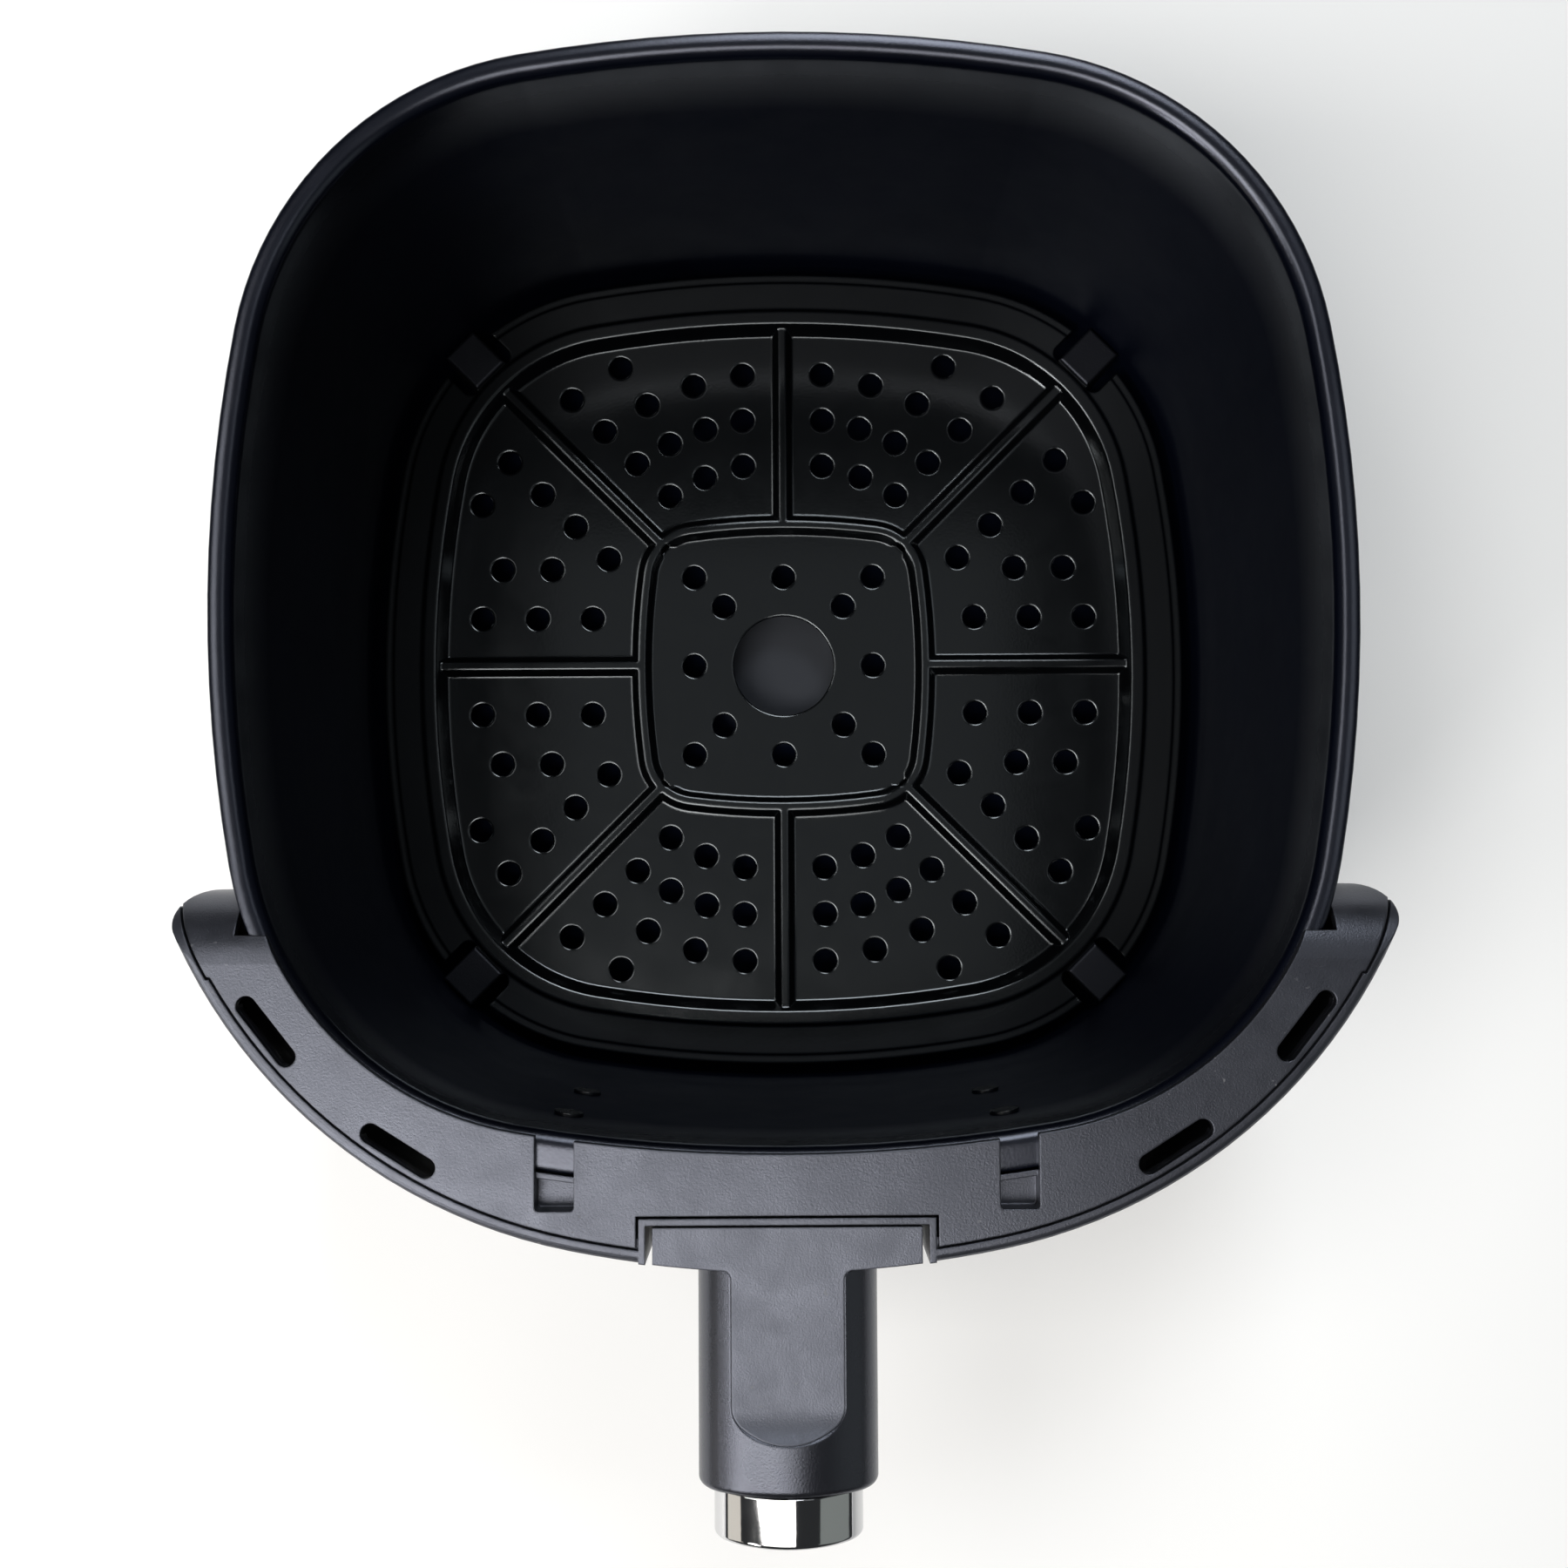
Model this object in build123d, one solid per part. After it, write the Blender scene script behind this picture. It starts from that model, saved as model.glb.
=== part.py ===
from build123d import *
import math
import os

# Drawer of a basket air fryer: a deep-drawn pan with a loose crisper tray, and a handled front.
# Millimetres. +Z is up, the handle points to -Y. The origin is on the table, at the middle of the
# pan's base.

# --- pan ---
RIM_WIDTH = 240.0            # over the flange, side to side
RIM_DEPTH = 238.8            # over the flange, front to back
RIM_SIDE_RADIUS = 318.0      # bow of the two sides
RIM_BACK_RADIUS = 337.0      # bow of the front and back
RIM_CORNER_RADIUS = 72.2
PAN_HEIGHT = 130.5
PAN_SHEET = 1.4
FLANGE_OVERHANG = 3.4        # flange beyond the outer wall, at the rim
PAN_DRAFT = 0.35             # degrees, the walls open upward
FLOOR_RADIUS = 10.0          # inside, between floor and wall
LIP_RADIUS = 2.7             # inside, between wall and flange
FLANGE_EDGE_ROUND = 0.45
FRONT_TAB = 3.3              # flange is wider by this along the front
FRONT_TAB_HALF = 78.0

# --- crisper tray ---
TRAY_PANEL_TOP = 14.0        # height of the perforated panels above the table
TRAY_SHEET = 1.2
TRAY_EDGE_INSET = 8.85       # tray edge inside the rim outline
TRAY_FLANGE_RISE = 2.6       # border above the panels
TRAY_LIP_WIDTH = 2.5
TRAY_LIP_DROP = 0.6
TRAY_SKIRT = 5.6             # turned-down edge
RIDGE_INSET = 18.95          # foot of the raised ring, from the rim outline
RIDGE_SLOPE = 1.0
RIDGE_TOP_WIDTH = 3.3
RIDGE_RISE = 3.6             # above the panels
WELL_SLOPE = 2.8             # run of the slope from ridge down to panels
BEAD_FOOT = 5.4
BEAD_TOP = 2.1
BEAD_RISE = 2.2
CENTRE_HALF = 39.6           # middle of the bead round the centre panel
CENTRE_SIDE_RADIUS = 200.0
CENTRE_CORNER_RADIUS = 13.5
HOLE_DIAMETER = 6.3
FINGER_HOLE = 28.0
HOLE_RING_MARGIN = 10.05     # third circle of holes inside the panels' outer edge
HOLE_RING_STEP = 12.85
SIDE_HOLE_MARGIN = 9.65      # outermost straight column inside the panels' outer edge
SIDE_HOLE_PITCH = 15.4
SIDE_HOLE_ROW = 13.5         # straight row beside the side spokes
CENTRE_HOLE_PITCH = 25.0
CENTRE_INNER_HOLE = 16.7

# --- bumpers on the tray's corners ---
NOTCH_WIDTH = 17.0
NOTCH_DEPTH = 10.0           # from the tray's corner inward
TONGUE_WIDTH = 7.0
TONGUE_SHORT = 0.6           # tongue ends this far inside the tray's corner
BUMPER_WIDTH = 10.8
BUMPER_GAP = 0.7             # to the pan's corner
BUMPER_SET_BACK = 0.1        # bumper starts this far outside the notch's inner end
BUMPER_OVER = 1.8            # rubber above the tongue
BUMPER_ROUND = 0.8

# --- front: fascia, cover and inner panel ---
COVER_SHEET = 2.0            # cover lies on the flange
FRONT_ARC_RADIUS = 224.0
FRONT_ARC_HALF_ANGLE = 11.4  # degrees, before the tighter side arcs begin
SIDE_SPACE = 16.0            # widest line of the front's side arcs outside the rim
FRONT_SPACE = 20.2           # from the rim's front edge to the fascia's face
REAR_END = 61.2              # rear ends of the front, forward of the pan's middle
END_CORNER_RADIUS = 6.0
ROLL_RADIUS = 15.3           # the rear ends roll over downward
FASCIA_WALL = 2.6
FASCIA_END_WALL = 2.0
THIN_LENGTH = 18.4           # length of the thinner wall at each rear end
SEAM = 0.5                   # visible gap between cover and fascia
LEDGE = 2.0                  # the fascia's step under the cover
LEDGE_DEPTH = 2.5
FASCIA_BOTTOM = 12.5
FASCIA_BASE_ROUND = 1.5
FASCIA_TOP_ROUND = 1.5
FASCIA_TOP_FLATS = 3         # the top edge is rounded in flats
LIP_LAP = 3.7                # cover's inner edge inside the rim outline
FLANGE_CLEAR = 0.5           # cover's underside round the flange's edge
SHOULDER_LENGTH = 9.5        # cover is cut back behind this distance from its rear ends
SHOULDER_GAP = 1.2           # cut-back edge outside the rim, at the shoulder
SLOT_LENGTH = 13.1           # between the slot's end centres
SLOT_WIDTH = 4.2
SLOT_INSET = 6.35
SLOT_ANGLES = (32.2, 51.6)   # degrees round the side arc's centre
POCKET_MIDDLE = 47.4
POCKET_WIDTH = 8.0
POCKET_TO_FACE = 7.6         # pocket's front wall behind the fascia's face
POCKET_REAR_CLEAR = 0.5
POCKET_DEPTH = 5.2           # cover top down to the pocket's floor
POCKET_WALL = 1.2
POCKET_ROUND = 0.8
PANEL_WALL = 1.6
PANEL_INSET = 1.5            # inner panel's face from the rim outline, under the flange
PANEL_FLOOR = 1.8
PANEL_FLOOR_UP = 0.5         # panel's floor above the fascia's lower edge
PANEL_GAP = 0.3
RETURN_WALL = 1.8
END_BOSS_RADIUS = 3.4

# --- handle ---
NOTCH_HALF = 30.8            # opening in the cover for the handle
NOTCH_LENGTH = 11.6          # from the fascia's face back
NOTCH_DROP = 42.5            # from the cover's top down
NOTCH_WALL = 1.4
MOUNT_SIDE_GAP = 1.4
MOUNT_UNDER_GAP = 1.5
MOUNT_SET_BACK = 0.1         # behind the fascia's face
HEAD_GAP = 0.5               # T-head behind the notch wall
HEAD_DEPTH = 6.0
TOP_SET_DOWN = 0.5           # handle's flat below the cover's top
GRIP_HALF = 18.6
GRIP_CROWN = 11.5            # crown above the widest line
GRIP_DROP = 15.0             # underside below the widest line
GRIP_SHOULDER_RADIUS = 8.8   # tight arcs beside the crown
GRIP_BELLY_RADIUS = 12.0     # tight arcs beside the underside
GRIP_LENGTH = 44.5           # beyond the fascia's face
GRIP_END_ROUND = 1.6
STRIP_HALF = 11.5
STRIP_DEPTH = 5.0
STRIP_FILLET = 1.8
STRIP_END_RADIUS = 5.0       # tight arcs of the strip's rounded end
STRIP_MARGIN = 0.25          # of the grip's flat and ramp, outside the strip
SCOOP_FROM_END = 17.85       # hollow ramp begins this far behind the grip's end
SCOOP_RADIUS = 11.8
CAP_HALF = 15.4
CAP_CROWN = 10.9
CAP_DROP = 12.4
CAP_SHOULDER_RADIUS = 8.4
CAP_BELLY_RADIUS = 9.8
CAP_LENGTH = 10.2
CAP_WALL = 1.6
CAP_ROUND = 1.0
SPIGOT_GAP = 0.1
SPIGOT_SHORT = 2.4
CHANNEL_WIDTH = 22.0
CHANNEL_END_WALL = 3.0
TONGUE_BAR_WIDTH = 18.0
TONGUE_BAR_THICK = 4.0
TONGUE_BAR_DROP = 6.0        # its top below the grip's widest line
TONGUE_BAR_SHORT = 3.0       # its end behind the channel's end
BAR_GAP = 0.3
LOWER_COVER_GAP = 0.2

# --- bracket and fasteners ---
BRACKET_SHEET = 1.5
BRACKET_TOP_DROP = 8.5       # below the rim
RIVET_X = 47.7
RIVET_DROPS = (56.8, 23.2)   # below the rim
RIVET_RADIUS = 2.0
RIVET_HEAD_RADIUS = 3.2
RIVET_HEAD_THICK = 0.8
PAD_HALF = 7.5
PAD_MARGIN = 9.7             # bracket below the lower rivets
PANEL_WINDOW_CLEAR = 2.0
SCREW_RADIUS = 1.8
SCREW_HEAD_RADIUS = 3.0
SCREW_HEAD_THICK = 2.0
MOUNT_SCREW_X = 19.0
MOUNT_SCREW_UP = 8.0         # lower pair above the notch's floor
MOUNT_SCREW_DOWN = 4.0       # upper pair below the bracket's top
MOUNT_SCREW_LENGTH = 8.0
BOSS_RADIUS = 4.4
BOSS_HEIGHT = 19.2
BOSS_INSET = 3.4             # boss axis inside the fascia's wall
BOSS_ANGLES = (15.4, 62.0)   # degrees round the side arc's centre
BOTTOM_SCREW_LENGTH = 16.0
END_SCREW_UP = 31.5          # lower pair above the fascia's lower edge
END_SCREW_DOWN = 21.2        # upper pair below the roll
END_SCREW_LENGTH = 9.0
GRIP_SCREWS_FROM_END = (15.0, 36.0)
GRIP_SCREW_SEAT = 1.6        # plastic between the screw's head and the tongue
GRIP_SCREW_COVER = 3.0       # between the screw's tip and the strip

# --- sizes that follow ---
COVER_TOP = PAN_HEIGHT + COVER_SHEET
FLANGE_BOTTOM = PAN_HEIGHT - PAN_SHEET
WALL_FOOT_INSET = FLANGE_OVERHANG + PAN_HEIGHT * math.tan(math.radians(PAN_DRAFT))
TRAY_BORDER_TOP = TRAY_PANEL_TOP + TRAY_FLANGE_RISE
TRAY_BORDER_BOTTOM = TRAY_BORDER_TOP - TRAY_SHEET
RIDGE_TOP = TRAY_PANEL_TOP + RIDGE_RISE
WELL_FOOT_INSET = RIDGE_INSET + RIDGE_SLOPE + RIDGE_TOP_WIDTH + WELL_SLOPE
FASCIA_REACH = RIM_DEPTH / 2 + FRONT_SPACE
FRONT_ARC_HALF_WIDTH = FRONT_ARC_RADIUS * math.sin(math.radians(FRONT_ARC_HALF_ANGLE))
SIDE_ARC_RADIUS = (RIM_WIDTH / 2 + SIDE_SPACE - FRONT_ARC_HALF_WIDTH) / (
    1 - math.sin(math.radians(FRONT_ARC_HALF_ANGLE))
)
SIDE_CENTRE_X = (FRONT_ARC_RADIUS - SIDE_ARC_RADIUS) * math.sin(math.radians(FRONT_ARC_HALF_ANGLE))
FRONT_CENTRE_Y = FRONT_ARC_RADIUS - FASCIA_REACH
SIDE_CENTRE_Y = FRONT_CENTRE_Y - (FRONT_ARC_RADIUS - SIDE_ARC_RADIUS) * math.cos(
    math.radians(FRONT_ARC_HALF_ANGLE)
)
SHOULDER = REAR_END + SHOULDER_LENGTH
JOG = REAR_END + THIN_LENGTH
PANEL_FLOOR_BOTTOM = FASCIA_BOTTOM + PANEL_FLOOR_UP
PANEL_FLOOR_TOP = PANEL_FLOOR_BOTTOM + PANEL_FLOOR
NOTCH_BACK = FASCIA_REACH - NOTCH_LENGTH
NOTCH_FLOOR = COVER_TOP - NOTCH_DROP
NOTCH_WALL_HALF = NOTCH_HALF - SEAM
BRACKET_FRONT = NOTCH_BACK + SEAM
HEAD_BACK = BRACKET_FRONT + NOTCH_WALL
MOUNT_HALF = NOTCH_WALL_HALF - NOTCH_WALL - MOUNT_SIDE_GAP
MOUNT_BOTTOM = NOTCH_FLOOR + MOUNT_UNDER_GAP
STRIP_TOP = COVER_TOP - TOP_SET_DOWN
GRIP_END = FASCIA_REACH + GRIP_LENGTH
SCOOP_START = GRIP_END - SCOOP_FROM_END
CHANNEL_END = GRIP_END - CHANNEL_END_WALL
TONGUE_BAR_END = CHANNEL_END - TONGUE_BAR_SHORT
RIVET_HEIGHTS = [PAN_HEIGHT - drop for drop in RIVET_DROPS]
BRACKET_TOP = PAN_HEIGHT - BRACKET_TOP_DROP
BRACKET_BOTTOM = min(RIVET_HEIGHTS) - PAD_MARGIN
MOUNT_SCREW_HEIGHTS = (NOTCH_FLOOR + MOUNT_SCREW_UP, BRACKET_TOP - MOUNT_SCREW_DOWN)
END_SCREW_HEIGHTS = (FASCIA_BOTTOM + END_SCREW_UP, COVER_TOP - ROLL_RADIUS - END_SCREW_DOWN)
REACH = 400.0                # larger than the whole object, for cutting bodies


# --- outlines ---
def circle_meet(centre_a, radius_a, centre_b, radius_b):
    """The meeting point of two circles that lies furthest toward +X and +Y."""
    apart = (centre_b - centre_a).length
    along = (radius_a**2 - radius_b**2 + apart**2) / (2 * apart)
    aside = math.sqrt(radius_a**2 - along**2)
    unit = (centre_b - centre_a).normalized()
    normal = Vector(unit.Y, -unit.X)
    foot = centre_a + unit * along
    return max((foot + normal * aside, foot - normal * aside), key=lambda p: p.X + p.Y)


def bowed_square(half_x, half_y, side_radius, back_radius, corner_radius):
    """Rounded square with bowed sides: four long arcs and four corner arcs, all tangent."""
    side_centre = Vector(half_x - side_radius, 0)
    back_centre = Vector(0, half_y - back_radius)
    corner = circle_meet(
        side_centre, side_radius - corner_radius, back_centre, back_radius - corner_radius
    )
    from_side = corner + (corner - side_centre).normalized() * corner_radius
    from_back = corner + (corner - back_centre).normalized() * corner_radius
    middle = ((from_side + from_back) / 2 - corner).normalized() * corner_radius + corner
    edges = []
    for sx, sy in ((1, 1), (-1, 1), (-1, -1), (1, -1)):
        points = [Vector(sx * p.X, sy * p.Y) for p in (from_side, middle, from_back)]
        edges.append(ThreePointArc(*points))
    for s in (1, -1):
        edges.append(
            ThreePointArc((s * from_side.X, -from_side.Y), (s * half_x, 0), (s * from_side.X, from_side.Y))
        )
        edges.append(
            ThreePointArc((-from_back.X, s * from_back.Y), (0, s * half_y), (from_back.X, s * from_back.Y))
        )
    return make_face(Curve() + edges)


def pan_outline(inset=0.0):
    """Outline of the rim, moved inward by inset (outward where it is negative)."""
    return bowed_square(
        RIM_WIDTH / 2 - inset,
        RIM_DEPTH / 2 - inset,
        RIM_SIDE_RADIUS - inset,
        RIM_BACK_RADIUS - inset,
        RIM_CORNER_RADIUS - inset,
    )


def side_arc_point(angle, inset, side=1):
    """Point on the fascia's side arc, angle in degrees from the -Y direction."""
    radius = SIDE_ARC_RADIUS - inset
    x = SIDE_CENTRE_X + radius * math.sin(math.radians(angle))
    y = SIDE_CENTRE_Y - radius * math.cos(math.radians(angle))
    return Vector(side * x, y)


def face_y(x):
    """Y of the fascia's face at x."""
    if abs(x) <= FRONT_ARC_HALF_WIDTH:
        return FRONT_CENTRE_Y - math.sqrt(FRONT_ARC_RADIUS**2 - x**2)
    return SIDE_CENTRE_Y - math.sqrt(SIDE_ARC_RADIUS**2 - (abs(x) - SIDE_CENTRE_X) ** 2)


def front_half_width(inset, y):
    """Half width at y of the fascia's outline moved inward by inset."""
    return SIDE_CENTRE_X + math.sqrt((SIDE_ARC_RADIUS - inset) ** 2 - (SIDE_CENTRE_Y - y) ** 2)


def rim_half_width(y):
    """Half width of the rim at y, on its side arcs."""
    return RIM_WIDTH / 2 - RIM_SIDE_RADIUS + math.sqrt(RIM_SIDE_RADIUS**2 - y**2)


def front_outline(inset, rear_y, corner_radius=0.0):
    """Plan of everything inside the fascia's face moved inward by inset, closed along rear_y."""
    radius = SIDE_ARC_RADIUS - inset
    end_angle = math.degrees(math.acos((SIDE_CENTRE_Y - rear_y) / radius))
    middle_angle = (FRONT_ARC_HALF_ANGLE + end_angle) / 2
    joint = side_arc_point(FRONT_ARC_HALF_ANGLE, inset)
    front = ThreePointArc(
        (-joint.X, joint.Y), (0, FRONT_CENTRE_Y - FRONT_ARC_RADIUS + inset), (joint.X, joint.Y)
    )
    edges = [front]
    for side in (1, -1):
        start = side_arc_point(FRONT_ARC_HALF_ANGLE, inset, side)
        middle = side_arc_point(middle_angle, inset, side)
        end = side_arc_point(end_angle, inset, side)
        edges.append(ThreePointArc(start, middle, end))
    right = side_arc_point(end_angle, inset)
    edges.append(Line((-right.X, right.Y), (right.X, right.Y)))
    face = make_face(Curve() + edges)
    if corner_radius:
        rear_corners = face.vertices().sort_by(Axis.Y)[-2:]
        face = fillet(rear_corners, corner_radius)
    return face


def below_roll(depth):
    """All that lies deeper than depth below the front's rolled-over top surface."""
    flat_end = -REAR_END - ROLL_RADIUS
    radius = ROLL_RADIUS - depth
    arc_centre = COVER_TOP - ROLL_RADIUS
    slant = math.sqrt(0.5) * radius
    profile = Curve() + [
        Line((-REACH, 0), (-REACH, arc_centre + radius)),
        Line((-REACH, arc_centre + radius), (flat_end, arc_centre + radius)),
        ThreePointArc(
            (flat_end, arc_centre + radius),
            (flat_end + slant, arc_centre + slant),
            (flat_end + radius, arc_centre),
        ),
        Line((flat_end + radius, arc_centre), (flat_end + radius, 0)),
        Line((flat_end + radius, 0), (-REACH, 0)),
    ]
    return extrude(Plane.YZ * make_face(profile), amount=REACH, both=True)


def slab(face, bottom, top):
    """The face raised from height bottom to height top."""
    return extrude(Pos(0, 0, bottom) * face, amount=top - bottom)


def block(x_range, y_range, z_range):
    """Box between the given limits."""
    sizes = [high - low for low, high in (x_range, y_range, z_range)]
    middles = [(high + low) / 2 for low, high in (x_range, y_range, z_range)]
    return Pos(*middles) * Box(*sizes)


def widening(inset, spread, bottom, top):
    """Pan-shaped body whose outline moves outward by spread between bottom and top."""
    angle = math.degrees(math.atan2(spread, top - bottom))
    return extrude(Pos(0, 0, bottom) * pan_outline(inset), amount=top - bottom, taper=-angle)


def forward_screw(x, z, head_y, length):
    """Screw along -Y: its head's flat seat at head_y, its tip further forward."""
    shank = Pos(x, head_y, z) * Rot(90, 0, 0) * Cylinder(
        SCREW_RADIUS, length, align=(Align.CENTER, Align.CENTER, Align.MIN)
    )
    head = Pos(x, head_y, z) * Rot(-90, 0, 0) * Cylinder(
        SCREW_HEAD_RADIUS, SCREW_HEAD_THICK, align=(Align.CENTER, Align.CENTER, Align.MIN)
    )
    return shank + head


def upward_screw(x, y, seat_z, length):
    """Screw along +Z: its head hangs below seat_z."""
    shank = Pos(x, y, seat_z) * Cylinder(
        SCREW_RADIUS, length, align=(Align.CENTER, Align.CENTER, Align.MIN)
    )
    head = Pos(x, y, seat_z - SCREW_HEAD_THICK) * Cylinder(
        SCREW_HEAD_RADIUS, SCREW_HEAD_THICK, align=(Align.CENTER, Align.CENTER, Align.MIN)
    )
    return shank + head


# --- pan ---
def flange_outline(grow=0.0):
    """Plan of the flange moved outward by grow: the rim, with a wider tab along the front."""
    rim = pan_outline(-grow)
    tab_width = 2 * (FRONT_TAB_HALF + grow)
    tab_place = Pos(0, -REACH / 2) * Rectangle(tab_width, REACH)
    return rim + ((Pos(0, -FRONT_TAB) * rim) & tab_place)


def pan_body(inset_more, bottom):
    """Drafted body of the pan's wall, moved inward by inset_more from the outer face."""
    foot = WALL_FOOT_INSET + inset_more - bottom * math.tan(math.radians(PAN_DRAFT))
    return extrude(
        Pos(0, 0, bottom) * pan_outline(foot), amount=PAN_HEIGHT - bottom, taper=-PAN_DRAFT
    )


def rounded_floor(body, radius):
    """Body with the edge round its bottom face filleted."""
    floor_edges = body.faces().sort_by(Axis.Z)[0].edges()
    return fillet(floor_edges, radius)


def pan_outer():
    """Everything inside the pan's outer wall."""
    return rounded_floor(pan_body(0, 0), FLOOR_RADIUS + PAN_SHEET)


def make_pan():
    """Drawn pan: drafted walls, rounded floor, flat flange with a rounded lip."""
    flange = slab(flange_outline(), FLANGE_BOTTOM, PAN_HEIGHT)
    inner = rounded_floor(pan_body(PAN_SHEET, PAN_SHEET), FLOOR_RADIUS)
    shell = pan_outer() + flange - inner
    shell = fillet(shell.faces().sort_by(Axis.Z)[-1].inner_wires()[0].edges(), LIP_RADIUS)
    shell = fillet(shell.faces().sort_by(Axis.Z)[-1].outer_wire().edges(), FLANGE_EDGE_ROUND)
    return shell - rivet_shanks()


# --- crisper tray ---
def mirrored(points):
    """Each point in all four quadrants, once."""
    found = []
    for x, y in points:
        for sx in (1, -1):
            for sy in (1, -1):
                place = (round(sx * x, 3), round(sy * y, 3))
                if place not in found:
                    found.append(place)
    return found


def ring_holes(ring, angles):
    """Places on one hole circle, at angles in degrees from the Y axis."""
    panel_half = min(RIM_WIDTH, RIM_DEPTH) / 2 - WELL_FOOT_INSET
    radius = panel_half - HOLE_RING_MARGIN + (ring - 2) * HOLE_RING_STEP
    return [(radius * math.sin(math.radians(a)), radius * math.cos(math.radians(a))) for a in angles]


def hole_places():
    """All small holes: fans in the eight panels and a square pattern in the centre panel."""
    last_column = RIM_WIDTH / 2 - WELL_FOOT_INSET - SIDE_HOLE_MARGIN
    end_fan = [
        *ring_holes(0, (11.1, 22.3, 33.4)),
        *ring_holes(1, (9.15, 17.95, 26.75, 35.55)),
        *ring_holes(2, (7.7, 17.45, 27.2, 36.95)),
        *ring_holes(3, (28.3, 38.1)),
    ]
    side_fan = [
        *ring_holes(0, (58.2,)),
        *ring_holes(1, (55.85, 67.1)),
        *ring_holes(2, (54.2, 70.8)),
        *ring_holes(3, (53.0, 61.55)),
        *[(last_column - i * SIDE_HOLE_PITCH, SIDE_HOLE_ROW) for i in range(3)],
    ]
    pitch = CENTRE_HOLE_PITCH
    inner = CENTRE_INNER_HOLE
    centre = [(pitch, pitch), (inner, inner), (pitch, 0), (0, pitch)]
    return mirrored(end_fan + side_fan + centre)


def bead_section(inset, bottom):
    """Trapezium of a bead, its flanks moved inward by inset and carried down to bottom."""
    lean = (BEAD_FOOT - BEAD_TOP) / 2 / BEAD_RISE
    top = BEAD_RISE - (inset and TRAY_SHEET)
    low_half = BEAD_FOOT / 2 - inset - bottom * lean
    high_half = BEAD_FOOT / 2 - inset - top * lean
    return low_half, high_half, top


def flank_inset():
    """Sheet thickness measured level across a bead's flank."""
    lean = (BEAD_FOOT - BEAD_TOP) / 2 / BEAD_RISE
    return TRAY_SHEET * math.hypot(1, lean)


def spoke(angle, inset=0.0, bottom=0.0):
    """Bead from the centre bead out to the ridge; its channel, where an inset is given."""
    low_half, high_half, top = bead_section(inset, bottom)
    section = make_face(
        Polyline((-low_half, bottom), (-high_half, top), (high_half, top), (low_half, bottom), close=True)
    )
    bar = extrude(Plane.YZ * section, amount=REACH / 2)
    return Rot(0, 0, angle) * Pos(CENTRE_HALF, 0, TRAY_PANEL_TOP) * bar


def centre_plan(grow):
    """Bowed square round the centre panel, moved outward by grow."""
    side = CENTRE_SIDE_RADIUS + grow
    return bowed_square(CENTRE_HALF + grow, CENTRE_HALF + grow, side, side, CENTRE_CORNER_RADIUS + grow)


def centre_bead(inset=0.0, bottom=0.0):
    """Bead round the centre panel; its channel, where an inset is given."""
    low_half, high_half, top = bead_section(inset, bottom)
    lean = math.degrees(math.atan2(low_half - high_half, top - bottom))
    height = top - bottom
    outer = extrude(Pos(0, 0, TRAY_PANEL_TOP + bottom) * centre_plan(low_half), amount=height, taper=lean)
    inner = extrude(Pos(0, 0, TRAY_PANEL_TOP + bottom) * centre_plan(-low_half), amount=height, taper=-lean)
    return outer - inner


def corner_reach():
    """Distance from the middle to the rim outline along a diagonal."""
    diagonal = Line((0, 0), (RIM_WIDTH, RIM_WIDTH))
    return (diagonal & pan_outline()).length


def at_corners(solid):
    """Names and copies of a solid, made along +X, turned to the four corners."""
    angles = {"front_left": 225, "front_right": 315, "back_left": 135, "back_right": 45}
    return {name: Rot(0, 0, angle) * solid for name, angle in angles.items()}


def corner_notch():
    """Cut for one corner of the tray, along +X: a wide notch that leaves a tongue."""
    tip = corner_reach() - TRAY_EDGE_INSET
    root = tip - NOTCH_DEPTH
    side_slot = (NOTCH_WIDTH - TONGUE_WIDTH) / 2
    cut = block((tip - TONGUE_SHORT, REACH), (-NOTCH_WIDTH / 2, NOTCH_WIDTH / 2), (0, REACH))
    for side in (1, -1):
        middle = side * (TONGUE_WIDTH + side_slot) / 2
        cut += block(
            (root + side_slot / 2, REACH),
            (middle - side_slot / 2, middle + side_slot / 2),
            (0, REACH),
        )
        cut += Pos(root + side_slot / 2, middle, 0) * Cylinder(
            side_slot / 2, REACH, align=(Align.CENTER, Align.CENTER, Align.MIN)
        )
    under = block((root, REACH), (-NOTCH_WIDTH / 2, NOTCH_WIDTH / 2), (0, TRAY_BORDER_BOTTOM))
    return cut + under


def tray_border():
    """Flat border with its lip and turned-down skirt."""
    plan = pan_outline(TRAY_EDGE_INSET)
    lip = slab(plan, TRAY_BORDER_TOP - TRAY_LIP_DROP, TRAY_BORDER_TOP)
    lip -= slab(pan_outline(TRAY_EDGE_INSET + TRAY_LIP_WIDTH), 0, REACH)
    skirt = slab(plan, TRAY_BORDER_TOP - TRAY_SKIRT, TRAY_BORDER_TOP)
    skirt -= slab(pan_outline(TRAY_EDGE_INSET + TRAY_SHEET), 0, REACH)
    return slab(plan, TRAY_BORDER_BOTTOM, TRAY_BORDER_TOP) + skirt - lip


def tray_ridge():
    """Raised ring inside the border, before the well is cut out of it."""
    rise = RIDGE_TOP - TRAY_BORDER_TOP
    lean = math.degrees(math.atan2(RIDGE_SLOPE, rise))
    return extrude(Pos(0, 0, TRAY_BORDER_TOP) * pan_outline(RIDGE_INSET), amount=rise, taper=lean)


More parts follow.
